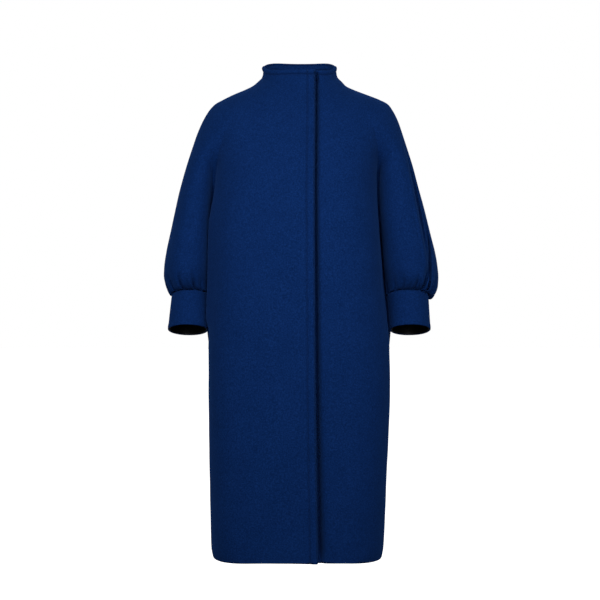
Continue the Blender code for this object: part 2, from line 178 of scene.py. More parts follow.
# A cuff from its seam to its lower rim, by shares of its height.
Rim = namedtuple("Rim", "down out_r out_l in_r in_l depth")
CUFF = [
    Rim(0, 267.5, 268, 190, 181, 48),
    Rim(0.5, 271, 269.5, 190.5, 184, 49.2),
    Rim(1, 274.2, 271, 191, 187, 50),
]

# The overlap's edge past the centre line, how far it stands off, and the trench's width.
Closure = namedtuple("Closure", "z edge stand trench")
CLOSURE = [
    Closure(-959, 36, 7, 6.2),
    Closure(-790, 33, 6, 5.8),
    Closure(-640, 31, 5, 5.2),
    Closure(-430, 30, 3.8, 4.4),
    Closure(-220, 29, 3, 4),
    Closure(-80, 30.5, 2.5, 3.9),
    Closure(60, 31.5, 2.2, 3.8),
]

# Gathers at the cuffs: where round the sleeve in degrees (0 at the body, 90 ahead, 180 outside),
# how far up they run, their width in degrees and their depth.
Gather = namedtuple("Gather", "side turn length width depth")
GATHERS = [
    Gather("right", 11, 26, 7, 2.2),
    Gather("right", 46, 32, 6, 2.4),
    Gather("right", 68, 50, 4.5, 6.5),
    Gather("right", 88, 22, 5, 1.6),
    Gather("right", 108, 36, 5, 4.6),
    Gather("right", 139, 42, 5.5, 5),
    Gather("right", 163, 24, 6, 2),
    Gather("right", 192, 36, 7, 2.8),
    Gather("right", 214, 28, 6, 2.2),
    Gather("right", 238, 50, 7, 3.6),
    Gather("right", 261, 30, 6, 2.4),
    Gather("right", 284, 42, 7, 3.2),
    Gather("right", 309, 26, 6, 2.2),
    Gather("right", 336, 34, 7, 2.6),
    Gather("left", 14, 24, 7, 2),
    Gather("left", 44, 30, 6, 2),
    Gather("left", 68, 34, 6, 2.4),
    Gather("left", 86, 20, 5, 1.4),
    Gather("left", 99, 34, 5, 4),
    Gather("left", 119, 44, 4, 7.5),
    Gather("left", 131, 52, 4, 8),
    Gather("left", 152, 38, 5, 5),
    Gather("left", 183, 28, 7, 2.4),
    Gather("left", 207, 44, 7, 3.4),
    Gather("left", 232, 30, 6, 2.4),
    Gather("left", 256, 52, 7, 3.6),
    Gather("left", 281, 28, 6, 2.2),
    Gather("left", 306, 40, 7, 3),
    Gather("left", 334, 30, 7, 2.4),
]
GATHER_FADE = (0.3, 1.4)
GATHER_GAIN = 1.4
# A gather ends at the seam in a sharper notch, whose depth is a share of the gather's.
NOTCH_WIDTH = 2.3
NOTCH_SHARE = 3.2
NOTCH_FADE = (6, 28)

# Soft creases, as seen from one side: how far out they lie, from one end to the other, how far the
# middle bows out, the half width and the depth. A ridge has a negative depth.
Crease = namedtuple("Crease", "view out a z end_a end_z bow width depth")
CREASES = [
    Crease("front", 65, 213, -88, 271, -392, 3, 3.4, 22),
    Crease("front", 65, 256, -250, 258, -428, 11, 3.2, 28),
    Crease("front", 65, 206, -88, 263.5, -384, 3, 4, -4),
    Crease("front", 65, 262, -358, 249, -428, 2, 2.8, 20),
    Crease("front", 75, 247, -384, 241, -428, 1, 2.4, 9),
    Crease("back", 120, -60, -60, -95, -420, 12, 26, 2.2),
    Crease("back", 120, 62, -70, 90, -380, -10, 24, 2),
    Crease("back", 120, -165, -230, -105, -150, -6, 12, 2.4),
    Crease("back", 120, 160, -230, 108, -160, 6, 12, 2.2),
    Crease("back", 150, 10, -480, 22, -940, 6, 30, 2),
    Crease("back", 150, -100, -560, -112, -940, -5, 24, -1.6),
    Crease("back", 150, 110, -600, 118, -945, 5, 24, -1.6),
    Crease("back", 80, -212, -250, -250, -290, 4, 8, 2.4),
    Crease("back", 80, 214, -262, 254, -300, -4, 8, 2.6),
    Crease("left", 250, 30, -268, 88, -300, 5, 9, 2),
    Crease("left", 240, 84, -190, 34, -226, -4, 10, 1.8),
    Crease("left", 180, 10, -520, 24, -930, 5, 26, 2),
    Crease("right", 250, 28, -258, 84, -286, 5, 9, 2),
    Crease("right", 238, 80, -180, 30, -214, -4, 10, 1.8),
    Crease("right", 185, 6, -540, -8, -930, -5, 26, 2),
]
CREASE_LEVEL_FADE = (30, 55)
CREASE_FACING_FADE = (0.05, 0.45)
CURVE_STEPS = 16
# The axis across each view, and the way towards the viewer.
VIEWS = {
    "front": (0, (0, -1, 0)),
    "back": (0, (0, 1, 0)),
    "left": (1, (1, 0, 0)),
    "right": (1, (-1, 0, 0)),
}

# Turned and stitched edges: a puff between the edge and the stitches, and a groove under them. The
# puff's place and width are shares of the stitches' distance. The rim's are softer at the sides.
EDGE_PUFF = 1.2
EDGE_STITCH = 16.2
EDGE_DEPTH = 2.8
RIM_PUFF = 1.5
RIM_STITCH = 11.4
RIM_DEPTH = 3
RIM_SIDE = 0.25
RIM_FADE = (0.3, 0.8)
PUFF_AT = 0.4
PUFF_WIDTH = 0.45
STITCH_WIDTH = 1.8
HEM_PUFF = 0.4
HEM_PUFF_AT = 4
HEM_PUFF_WIDTH = 5
EDGE_THICK = 1.6
EDGE_THICK_REACH = 9

# Seams: a groove with a slight swell beside it. Walls have round edges.
SEAM_DEPTH = 0.9
SEAM_WIDTH = 2.2
SEAM_SWELL = 0.3
SEAM_SWELL_AT = 5
SEAM_SWELL_WIDTH = 3
SEAM_ROUND = 0.6
SEAM_ROUND_SHARE = 0.4
ROUND_TURNS = (30, 60, 90)
MITRE_LIMIT = 0.4

# The cloth's slight unevenness, and the cuffs' own.
WAVE_HEIGHT = 0.8
WAVE_LONG = 90
WAVE_SHORT = 38
WAVE_SHORT_SHARE = 0.4
CUFF_WAVE_HEIGHT = 0.3
CUFF_WAVE = 30

# Rows down a cuff, its puff above the lower rim and its groove at the seam.
CUFF_ROWS = (0.2, 2.2, 4, 6, 9, 14, 20, 27, 34, 41, 48, 54, 58, 61, 63, 65, 67, 69.5, 71.5, 73.2, 75)
LINING_ROWS = (2, 12, 24, 36, 48, 60, 69, 73.6)
CUFF_PUFF = 0.7
CUFF_PUFF_AT = 69
CUFF_PUFF_WIDTH = 5
CUFF_SEAM = 1.8
CUFF_SEAM_WIDTH = 3

# Topstitching.
STITCH_FIND = 0.05
STITCH_BREAK = 40
STITCH_START = 40
STITCH_PITCH = 4.6
STITCH_LENGTH = 3.4
THREAD_SIDES = 6
# Along a stitch: share of its length, radius and height.
THREAD = [(0, 0.12, -0.4), (0.15, 0.3, -0.05), (0.5, 0.36, 0.12), (0.85, 0.3, -0.05), (1, 0.12, -0.4)]

CAMERA_PLACE = (0, -3.5, -0.4305)
FRAME_WIDTH = 1.26
FLOOR_Z = -1.42
FLOOR_HALF = 30
WHITE = (1, 1, 1, 1)

WOOL_DARK = (0.0019, 0.0109, 0.0535)
WOOL_MID = (0.0028, 0.0156, 0.076)
WOOL_LIGHT = (0.0044, 0.0227, 0.106)
WOOL_SHEEN = (0.07, 0.22, 0.75, 1)
THREAD_DARK = (0.0012, 0.0075, 0.037)
THREAD_LIGHT = (0.002, 0.0115, 0.055)
LINING_DARK = (0.0012, 0.0012, 0.0018)
LINING_LIGHT = (0.003, 0.003, 0.0045)

SIDES = {"right": -1, "left": 1}
FACES = {"front": -1, "back": 1}
PIECES = ["front_right", "front_left", "back"]
FAR = 1000


def row_at(table, where):
    """The table's row at a value of its first column, between rows by a monotone cubic."""
    keys = [row[0] for row in table]
    way = 1 if keys[-1] > keys[0] else -1
    passed = sum(1 for key in keys if key * way <= where * way)
    index = max(0, min(len(keys) - 2, passed - 1))
    span = keys[index + 1] - keys[index]
    part = (where - keys[index]) / span
    values = []
    for column in zip(*table):
        rise = column[index + 1] - column[index]
        start = slope(keys, column, index) * span
        end = slope(keys, column, index + 1) * span
        bend = 3 * rise - 2 * start - end + part * (start + end - 2 * rise)
        values.append(column[index] + part * (start + part * bend))
    return type(table[0])(*values)


def slope(keys, column, index):
    """The monotone slope of a table's column at one of its rows."""
    steps = [(column[i + 1] - column[i]) / (keys[i + 1] - keys[i]) for i in range(len(keys) - 1)]
    if index == 0:
        return steps[0]
    if index == len(keys) - 1:
        return steps[-1]
    before, after = steps[index - 1], steps[index]
    return 2 * before * after / (before + after) if before * after > 0 else 0


def of_side(row, name, side):
    """A row's value for the wearer's right or left."""
    return getattr(row, name + "_" + side[0])


def mix(first, second, part):
    """A number between two numbers, or a point between two points."""
    if isinstance(first, tuple):
        return tuple(mix(a, b, part) for a, b in zip(first, second))
    return first + (second - first) * part


def ease(value, low, high):
    """0 below low, 1 above high, and an even S between."""
    part = max(0, min(1, (value - low) / (high - low)))
    return part * part * (3 - 2 * part)


def lengths_of(line):
    """How far along a line each of its points lies."""
    lengths = [0]
    for first, second in zip(line, line[1:]):
        lengths.append(lengths[-1] + math.dist(first, second))
    return lengths


def at_stations(line, stations):
    """The line's points at each station, a length from its start."""
    lengths = lengths_of(line)
    points = []
    index = 0
    for station in stations:
        while index < len(line) - 2 and lengths[index + 1] < station:
            index += 1
        part = (station - lengths[index]) / max(lengths[index + 1] - lengths[index], 1e-9)
        points.append(mix(line[index], line[index + 1], min(1, part)))
    return points


def stations(length, count, starts=(0,), ends=(0,), start_share=1, end_share=1):
    """Lengths for count columns: even ones, with closer ones at the start and the end.

    A share below 1 moves the closer ones towards even steps.
    """
    inner = count - (len(starts) - 1) - (len(ends) - 1)
    low, high = starts[-1], length - ends[-1]
    close = list(starts[:-1]) + [mix(low, high, i / inner) for i in range(inner + 1)]
    close += [length - end for end in reversed(ends[:-1])]
    plain = [length * i / count for i in range(count + 1)]
    made = []
    for index, (a, b) in enumerate(zip(plain, close)):
        share = start_share if index < count / 2 else end_share
        made.append(mix(a, b, share))
    return made


def both_ways(row, side):
    """A row's half widths, this side's first."""
    return (row.right, row.left) if side == "right" else (row.left, row.right)


def both_faces(front, back, face):
    """Two values for the front and the back, this face's first."""
    return (front, back) if face == "front" else (back, front)


def power_of(value, power):
    """A signed power, for a superellipse."""
    return math.copysign(abs(value) ** power, value)


def body_line(widths, depths, corners, reach, end_turn, swell=0, face="front", front_swell=0):
    """The body's section from the centre line to end_turn degrees round one side."""
    start_turn = -math.degrees(math.asin((reach / widths[1]) ** (corners[0] / 2)))
    line = []
    for step in range(FINE + 1):
        turn = math.radians(mix(start_turn, end_turn, step / FINE))
        width = widths[0] if turn >= 0 else widths[1]
        far = 1 if math.cos(turn) < 0 else 0
        power = 2 / corners[far]
        ahead = depths[far] * power_of(math.cos(turn), power)
        behind = max(0, min(SWELL_SPAN, FACES[face] * ahead))
        width += swell * math.sin(math.pi * behind / SWELL_SPAN) ** SWELL_POWER
        before = max(0, min(FRONT_SWELL_SPAN, ahead))
        width += front_swell * math.sin(math.pi * before / FRONT_SWELL_SPAN) ** SWELL_POWER
        line.append((width * power_of(math.sin(turn), power), ahead))
    return line


def sleeve_line(inner, outer, depths, start_turn, end_turn, steps=FINE, corner=2):
    """A sleeve's section in degrees: 0 is at the body, 90 ahead and 180 outside.

    A corner over 2 makes its quarter between the body and straight ahead squarer.
    """
    middle = (inner + outer) / 2
    radius = (outer - inner) / 2
    line = []
    for step in range(steps + 1):
        turn = math.radians(mix(start_turn, end_turn, step / steps))
        ahead = depths[0] if math.sin(turn) >= 0 else depths[1]
        power = 2 / corner if math.cos(turn) > 0 and math.sin(turn) > 0 else 1
        line.append((middle - radius * power_of(math.cos(turn), power),
                     ahead * power_of(math.sin(turn), power)))
    return line


def plain_lines(ring, side, depth, reach):
    """A ring of the collar or the shoulders, as a body stretch and a sleeve stretch."""
    line = body_line(both_ways(ring, side), (depth, depth), (PLAIN_CORNER, PLAIN_CORNER), reach, 90)
    lengths = [0]
    for first, second in zip(line, line[1:]):
        step = math.dist(first, second) if second[0] > 0 else 0
        lengths.append(lengths[-1] + step)
    aim = BODY_SHARE * lengths[-1]
    index = max(i for i, length in enumerate(lengths) if length < aim)
    part = (aim - lengths[index]) / (lengths[index + 1] - lengths[index])
    split = mix(line[index], line[index + 1], part)
    return line[:index + 1] + [split], [split] + line[index + 1:]


def folded_lines(ring, fold, side, face, depth, reach):
    """A ring that a fold parts into a body stretch and a sleeve stretch."""
    widths = both_ways(fold, side)
    depths = both_faces(fold.front, fold.back, face)
    corners = both_faces(fold.corner_f, fold.corner_b, face)
    valley = 1 - of_side(fold, "cut", side)
    body_end = math.degrees(math.acos((depths[0] * valley / depth) ** (corners[0] / 2)))
    swell = of_side(fold, "swell", side)
    front_swell = 0
    if face == "front":
        front_swell = FRONT_SWELL[side] * of_side(fold, "cut", side) ** FRONT_SWELL_POWER
    body = body_line(widths, (depth, depth), corners, reach, body_end, swell, face, front_swell)
    turn = of_side(fold, "turn", side) * -FACES[face]
    corner = mix(2, SLEEVE_CORNER, fold.split ** 2) if face == "front" else 2
    sleeve = sleeve_line(widths[0] + SLOT, getattr(ring, side), depths,
                         math.degrees(math.asin(valley ** (corner / 2))), 180 - turn, corner=corner)
    return body, sleeve


def lap_shift(side, across, z):
    """How far a front lies ahead of the coat's own surface, near the closure."""
    closure = row_at(CLOSURE, z)
    if side == "right":
        return closure.stand * ease(-across, closure.edge - STAND_REACH, closure.edge)
    away = ease(across, closure.edge + LAP_FADE[0], closure.edge + LAP_FADE[1])
    past = (across - closure.edge) / closure.trench
    deep = mix(TRENCH_HEM_SHARE, 1, ease(z, *TRENCH_HEM_FADE))
    deep *= mix(TRENCH_RIM_SHARE, 1, ease(-z, *TRENCH_RIM_FADE))
    return -(WALL + LAP_GAP) * (1 - away) - TRENCH_DEPTH * deep * math.exp(-(past - TRENCH_AT) ** 2)


def reach_past_centre(side, face, z):
    """How far a stretch runs past the centre line: the overlap, the underlap or nothing."""
    if face == "back":
        return 0
    return row_at(CLOSURE, z).edge if side == "right" else UNDERLAP_REACH


def place(side, face, across, ahead, z):
    """A point of the coat in metres from its place on one side and face."""
    if face == "front":
        ahead += lap_shift(side, across, z)
    return Vector((SIDES[side] * across, FACES[face] * ahead, z)) * MM


def bridge(before, start, end, after):
    """Points of a rounded valley between a body stretch's end and a sleeve stretch's start."""
    gap = math.dist(start, end)
    room = max(0, min(gap, start[1]))
    heading = Vector(start) - Vector(before)
    leaving = Vector(after) - Vector(end)
    heading = heading.normalized() * room if heading.length > 0 else Vector((0, 0))
    leaving = leaving.normalized() * room if leaving.length > 0 else Vector((0, 0))
    made = []
    for step in range(1, BRIDGE_COLUMNS):
        t = step / BRIDGE_COLUMNS
        point = (Vector(start) * (2 * t ** 3 - 3 * t ** 2 + 1) + heading * (t ** 3 - 2 * t ** 2 + t)
                 + Vector(end) * (3 * t ** 2 - 2 * t ** 3) + leaving * (t ** 3 - t ** 2))
        made.append((point.x, point.y))
    return made


def start_stations(side, face, z):
    """The close columns at a stretch's start: at the front edge, or beside the overlap."""
    if face == "back":
        return (0,)
    if side == "right":
        return EDGE_STATIONS
    beside = UNDERLAP_REACH + row_at(CLOSURE, z).edge
    return HIDDEN_STATIONS + tuple(beside + step for step in TRENCH_STATIONS)


# A point of the skin with its distances from the front edge, the collar's rim, the hem and the
# nearest seam.
Spot = namedtuple("Spot", "point edge rim hem seam")


def upper_row(number, side, face):
    """One ring's row of spots from the centre to the overarm seam."""
    ring = row_at(RINGS, number)
    depth = getattr(ring, face)
    centre_z = getattr(ring, face + "_z")
    reach = reach_past_centre(side, face, centre_z)
    starts = start_stations(side, face, centre_z)
    body, sleeve = plain_lines(ring, side, depth, reach)
    body = at_stations(body, stations(lengths_of(body)[-1], BODY_COLUMNS, starts))
    sleeve = at_stations(sleeve, stations(lengths_of(sleeve)[-1], SLEEVE_COLUMNS, (0,), SEAM_STATIONS))
    fold = row_at(FOLDS, max(number, FOLDS[0].number))
    if fold.split > 0:
        parted = folded_lines(ring, fold, side, face, depth, reach)
        far_body = at_stations(parted[0], stations(lengths_of(parted[0])[-1], BODY_COLUMNS, starts))
        far_sleeve = at_stations(parted[1], stations(lengths_of(parted[1])[-1], SLEEVE_COLUMNS,
                                                     (0,), SEAM_STATIONS))
        body = [mix(a, b, fold.split) for a, b in zip(body, far_body)]
        sleeve = [mix(a, b, fold.split) for a, b in zip(sleeve, far_sleeve)]
    along, on = lengths_of(body), lengths_of(sleeve)
    shares = [BODY_SHARE * abs(step - reach) / (along[-1] - reach) for step in along]
    shares += [BODY_SHARE] * (BRIDGE_COLUMNS - 1)
    shares += [mix(BODY_SHARE, 1, step / on[-1]) for step in on]
    line = body + bridge(body[-2], body[-1], sleeve[0], sleeve[1]) + sleeve
    edges = along + [FAR] * (len(line) - len(along))
    seams = [FAR] * (len(line) - len(on)) + [on[-1] - step for step in on]
    rim = FIRST_RING_DROP * min(number, 1) + RING_DROP * max(0, number - 1)
    rise = 1 + COLLAR_RISE * (1 - ease(number, *COLLAR_RISE_FADE))
    row = []
    for (across, ahead), share, edge, seam in zip(line, shares, edges, seams):
        z = mix(ring.side_z, centre_z, math.cos(share ** rise * math.pi / 2) ** 2)
        row.append(Spot(place(side, face, across, ahead, z), edge if face == "front" else FAR,
                        rim, FAR, seam))
    return row


def body_row(z, side, face):
    """One row of the body below the underarm, from the centre to the side seam."""
    body = row_at(BODY, z)
    turn = of_side(body, "turn", side)
    front_swell = FRONT_SWELL[side] * ease(z, *FRONT_SWELL_FADE) if face == "front" else 0
    line = body_line(both_ways(body, side), both_faces(body.front, body.back, face),
                     both_faces(body.corner_f, body.corner_b, face),
                     reach_past_centre(side, face, z), turn if face == "front" else 180 - turn,
                     of_side(body, "swell", side), face, front_swell)
    length = lengths_of(line)[-1]
    starts = start_stations(side, face, z)
    close = ease(-z, *SEAM_STATIONS_FADE)
    steps = stations(length, BODY_COLUMNS, starts)
    near = stations(length, BODY_COLUMNS, starts, SEAM_STATIONS)
    steps = [mix(a, b, close) for a, b in zip(steps, near)]
    row = []
    for (across, ahead), step in zip(at_stations(line, steps), steps):
        drop = HEM_DROP * ease(across, *HEM_DROP_ACROSS_FADE) * ease(-z, *HEM_DROP_DOWN_FADE)
        row.append(Spot(place(side, face, across, ahead, z - drop), step if face == "front" else FAR,
                        FAR, z - BODY[-1].z, length - step))
    return row


def gather_depth(side, turn, ring, up):
    """How far the gathers draw the sleeve in at one place round it."""
    drawn = 0
    for gather in GATHERS:
        if gather.side != side:
            continue
        away = (turn - gather.turn + 180) % 360 - 180
        trough = math.exp(-(away / gather.width) ** 2)
        fade = [gather.length * share for share in GATHER_FADE]
        drawn += gather.depth * trough * (1 - ease(up, *fade))
        notch = math.exp(-(away / NOTCH_WIDTH) ** 2)
        drawn += gather.depth * NOTCH_SHARE * notch * (1 - ease(up, *NOTCH_FADE))
    return drawn * min(1, ring.gather * GATHER_GAIN)


def sleeve_row(z, side, face):
    """One row of a sleeve below the underarm, from the underarm seam to the overarm seam."""
    ring = row_at(SLEEVE, z)
    inner, outer = of_side(ring, "in", side), of_side(ring, "out", side)
    depths = both_faces(ring.front, ring.back, face)
    turn = of_side(ring, "turn", side) * -FACES[face]
    corner = mix(2, SLEEVE_CORNER, ease(z, *SLEEVE_CORNER_FADE)) if face == "front" else 2
    line = sleeve_line(inner, outer, depths, 0, 180 - turn, corner=corner)
    length = lengths_of(line)[-1]
    close = ease(-z, *SEAM_STATIONS_FADE)
    steps = stations(length, SLEEVE_COLUMNS, (0,), SEAM_STATIONS)
    near = stations(length, SLEEVE_COLUMNS, SEAM_STATIONS, SEAM_STATIONS)
    steps = [mix(a, b, close) for a, b in zip(steps, near)]
    middle = (inner + outer) / 2
    row = []
    for (across, ahead), step in zip(at_stations(line, steps), steps):
        radial = Vector((across - middle, ahead))
        turned = math.degrees(math.atan2(ahead / depths[0], -radial.x / (outer - middle)))
        if face == "back":
            turned = -turned
        drawn = gather_depth(side, turned, ring, z - SLEEVE[-1].z)
        radial -= radial.normalized() * drawn
        outside = max(0, radial.x) / (outer - middle)
        y = FACES[face] * radial.y + ring.middle
        lift = -math.tan(math.radians(ring.tilt)) * (y - ring.middle)
        drop = of_side(ring, "sag", side) * outside ** 2
        point = Vector((SIDES[side] * (middle + radial.x), y, ring.z + lift - drop)) * MM
        row.append(Spot(point, FAR, FAR, FAR, min(step + 2 * (1 - close), length - step)))
    return row


def add_grid(mesh, rows, piece, flip):
    """Facets between rows of spots, marked with the piece that they belong to."""
    layers = [mesh.verts.layers.float[name] for name in Spot._fields[1:]]
    made = []
    for row in rows:
        line = []
        for spot in row:
            vertex = mesh.verts.new(spot.point)
            for layer, value in zip(layers, spot[1:]):
                vertex[layer] = value
            line.append(vertex)
        made.append(line)
    for above, below in zip(made, made[1:]):
        for index in range(len(above) - 1):
            corners = [above[index], above[index + 1], below[index + 1], below[index]]
            facet = mesh.faces.new(corners[::-1] if flip else corners)
            facet.material_index = PIECES.index(piece)


def ring_numbers():
    """The rows from the collar's rim to the underarm."""
    even = range((RINGS[-1].number - EVEN_ROWS_FROM) * RING_STEPS + 1)
    return list(COLLAR_ROWS) + [EVEN_ROWS_FROM + step / RING_STEPS for step in even]


def falling(start, step, ends):
    """Heights from start down to the first of ends in even steps, and then ends."""
    count = round((start - ends[0]) / step)
    return [mix(start, ends[0], index / count) for index in range(count)] + list(ends)


def coat_skin():
    """The outer surface of the fronts and the back, joined at the seams."""
    skin = bmesh.new()
    for name in Spot._fields[1:]:
        skin.verts.layers.float.new(name)
    for side in SIDES:
        for face in FACES:
            piece = "back" if face == "back" else "front_" + side
            flip = (side == "left") == (face == "front")
            add_grid(skin, [upper_row(number, side, face) for number in ring_numbers()], piece, flip)
            rows = [body_row(z, side, face) for z in falling(BODY[0].z, BODY_STEP, HEM_ROWS)]
            add_grid(skin, rows, piece, flip)
            rows = [sleeve_row(z, side, face)
                    for z in falling(SLEEVE[0].z, SLEEVE_STEP, SLEEVE_END_ROWS)]
            add_grid(skin, rows, piece, flip)
    bmesh.ops.remove_doubles(skin, verts=skin.verts[:], dist=MERGE)
    skin.verts.index_update()
    skin.normal_update()
    return skin


def even_out(skin):
    """Spreads the close columns where the folds between body and sleeves begin."""
    near = [vertex for vertex in skin.verts
            if all(low < abs(value) / MM < high
                   for value, (low, high) in zip(vertex.co, FOLD_STARTS)) and vertex.co.z < 0]
    for _ in range(FOLD_START_TURNS):
        bmesh.ops.smooth_vert(skin, verts=near, factor=0.5, use_axis_x=True, use_axis_y=True,
                              use_axis_z=True)
    skin.normal_update()


def bell(distance, width):
    """A smooth hump: 1 at no distance, falling away over the width."""
    return np.exp(-(distance / width) ** 2)


def smooth(value, low, high):
    """ease for arrays."""
    part = np.clip((value - low) / (high - low), 0, 1)
    return part * part * (3 - 2 * part)


def crease_moves(places, normals):
    """How the creases move each point of the skin, along the way that each one faces."""
    moves = np.zeros(places.shape)
    for crease in CREASES:
        axis, facing = VIEWS[crease.view]
        facing = np.array(facing)
        flat = places[:, [axis, 2]]
        start, end = np.array((crease.a, crease.z)), np.array((crease.end_a, crease.end_z))
        along = end - start
        side = np.array((-along[1], along[0])) / np.linalg.norm(along)
        nearest = np.full(len(places), np.inf)
        part = np.zeros(len(places))
        for step in range(CURVE_STEPS):
            t0, t1 = step / CURVE_STEPS, (step + 1) / CURVE_STEPS
            a = start + along * t0 + side * crease.bow * 4 * t0 * (1 - t0)
            b = start + along * t1 + side * crease.bow * 4 * t1 * (1 - t1)
            on = np.clip(((flat - a) @ (b - a)) / ((b - a) @ (b - a)), 0, 1)
            gap = np.linalg.norm(flat - a - on[:, None] * (b - a), axis=1)
            closer = gap < nearest
            nearest[closer] = gap[closer]
            part[closer] = (t0 + on / CURVE_STEPS)[closer]
        fade = 4 * part * (1 - part)
        seen = smooth(normals @ facing, *CREASE_FACING_FADE)
        seen *= 1 - smooth(np.abs(places @ facing - crease.out), *CREASE_LEVEL_FADE)
        moves -= np.outer(crease.depth * bell(nearest, crease.width) * fade * seen, facing)
    return moves


def shape_skin(skin):
    """Moves the skin's points out and in for its edges, seams, creases and slight unevenness."""
    places = np.array([vertex.co for vertex in skin.verts]) / MM
    normals = np.array([vertex.normal for vertex in skin.verts])
    values = {name: np.array([vertex[skin.verts.layers.float[name]] for vertex in skin.verts])
              for name in Spot._fields[1:]}
    moves = crease_moves(places, normals)
    heights = np.zeros(len(places))
    ahead = RIM_SIDE + (1 - RIM_SIDE) * smooth(np.abs(normals[:, 1]), *RIM_FADE)
    for name, stitch, puff, depth in (("edge", EDGE_STITCH, EDGE_PUFF, EDGE_DEPTH),
                                      ("rim", RIM_STITCH, RIM_PUFF * ahead, RIM_DEPTH * ahead)):
        heights += puff * bell(values[name] - stitch * PUFF_AT, stitch * PUFF_WIDTH)
        heights -= depth * bell(values[name] - stitch, STITCH_WIDTH)
    heights += HEM_PUFF * bell(values["hem"] - HEM_PUFF_AT, HEM_PUFF_WIDTH)
    heights -= SEAM_DEPTH * bell(values["seam"], SEAM_WIDTH)
    heights += SEAM_DEPTH * SEAM_SWELL * bell(values["seam"] - SEAM_SWELL_AT, SEAM_SWELL_WIDTH)
    for vertex, place_mm, height, move in zip(skin.verts, places, heights, moves):
        wave = noise.noise(Vector(place_mm) / WAVE_LONG)
        wave += WAVE_SHORT_SHARE * noise.noise(Vector(place_mm) / WAVE_SHORT)
        vertex.co = vertex.co + (vertex.normal * (height + WAVE_HEIGHT * wave) + Vector(move)) * MM
    skin.normal_update()


def edge_frames(skin, piece):
    """For each vertex at a piece's edge, the way into the piece and whether it is at a seam."""
    into, sewn = {}, {}
    for edge in skin.edges:
        own = [facet for facet in edge.link_faces if facet.material_index == piece]
        if len(own) != 1:
            continue
        along = (edge.verts[1].co - edge.verts[0].co).normalized()
        inward = own[0].calc_center_median() - edge.verts[0].co
        inward = (inward - inward.project(along)).normalized()
        for vertex in edge.verts:
            into.setdefault(vertex, []).append(inward)
            sewn[vertex] = sewn.get(vertex, False) or len(edge.link_faces) == 2
    frames = {}
    for vertex, ways in into.items():
        other = ways[1] if len(ways) > 1 else ways[0]
        mitred = (ways[0] + other) / max(MITRE_LIMIT, 1 + ways[0].dot(other))
        frames[vertex] = (mitred, sewn[vertex])
    return frames


def rolled(vertex, way, sewn, wall):
    """The points round a wall's edge, from its outer side to its inner side."""
    out = vertex.normal
    radius = min(SEAM_ROUND, wall * SEAM_ROUND_SHARE) if sewn else wall / 2
    places = [(radius, 0)]
    for turn in ROUND_TURNS:
        a = math.radians(turn)
        places.append((radius * (1 - math.sin(a)), radius * (1 - math.cos(a))))
    for turn in ROUND_TURNS[:-1]:
        a = math.radians(turn)
        places.append((radius * (1 - math.cos(a)), wall - radius + radius * math.sin(a)))
    places.append((radius, wall))
    return [vertex.co + way * inward * MM - out * down * MM for inward, down in places]


def thick_piece(name, skin, piece, wall, finish):
    """A shell: one piece of the skin, its inner side a wall's thickness within, and round edges."""
    facets = [facet for facet in skin.faces if facet.material_index == piece]
    frames = edge_frames(skin, piece)
    layers = [skin.verts.layers.float.get(key) for key in ("edge", "rim", "hem")]
    solid = bmesh.new()
    outer, inner, rolls = {}, {}, {}
    for facet in facets:
        for vertex in facet.verts:
            if vertex in outer:
                continue
            near = min([vertex[layer] for layer in layers if layer] + [FAR])
            thick = wall + EDGE_THICK * math.exp(-(near / EDGE_THICK_REACH) ** 2)
            if vertex in frames:
                way, sewn = frames[vertex]
                roll = [solid.verts.new(point) for point in rolled(vertex, way, sewn, thick)]
                outer[vertex], inner[vertex] = roll[0], roll[-1]
                rolls[vertex] = roll
            else:
                outer[vertex] = solid.verts.new(vertex.co)
                inner[vertex] = solid.verts.new(vertex.co - vertex.normal * thick * MM)
    for facet in facets:
        solid.faces.new([outer[corner] for corner in facet.verts])
        solid.faces.new([inner[corner] for corner in reversed(facet.verts)])
        for loop in facet.loops:
            own = [other for other in loop.edge.link_faces if other.material_index == piece]
            if len(own) > 1:
                continue
            here, there = rolls[loop.vert], rolls[loop.link_loop_next.vert]
            for index in range(len(here) - 1):
                solid.faces.new([there[index], here[index], here[index + 1], there[index + 1]])
    return add_object(name, solid, finish)


def add_object(name, shape, finish):
    """A smooth object from a bmesh, at the origin."""
    mesh = bpy.data.meshes.new(name)
    shape.to_mesh(mesh)
    shape.free()
    mesh.shade_smooth()
    mesh.materials.append(finish)
    made = bpy.data.objects.new(name, mesh)
    bpy.context.scene.collection.objects.link(made)
    return made


def stitch_path(skin, piece, name, distance):
    """The points and normals of a piece at one distance from an edge."""
    layer = skin.verts.layers.float[name]
    found = [vertex for vertex in skin.verts
             if abs(vertex[layer] - distance) < STITCH_FIND
             and any(facet.material_index == piece for facet in vertex.link_faces)]
    if piece == PIECES.index("front_left"):
        found = [vertex for vertex in found if vertex.co.x > STITCH_START * MM]
    if name == "edge":
        found.sort(key=lambda vertex: vertex.co.z)
    else:
        found.sort(key=lambda vertex: math.atan2(vertex.co.x, -vertex.co.y))
        if piece == PIECES.index("back"):
            found.sort(key=lambda vertex: math.atan2(vertex.co.x, vertex.co.y))
    return [(vertex.co.copy(), vertex.normal.copy()) for vertex in found]


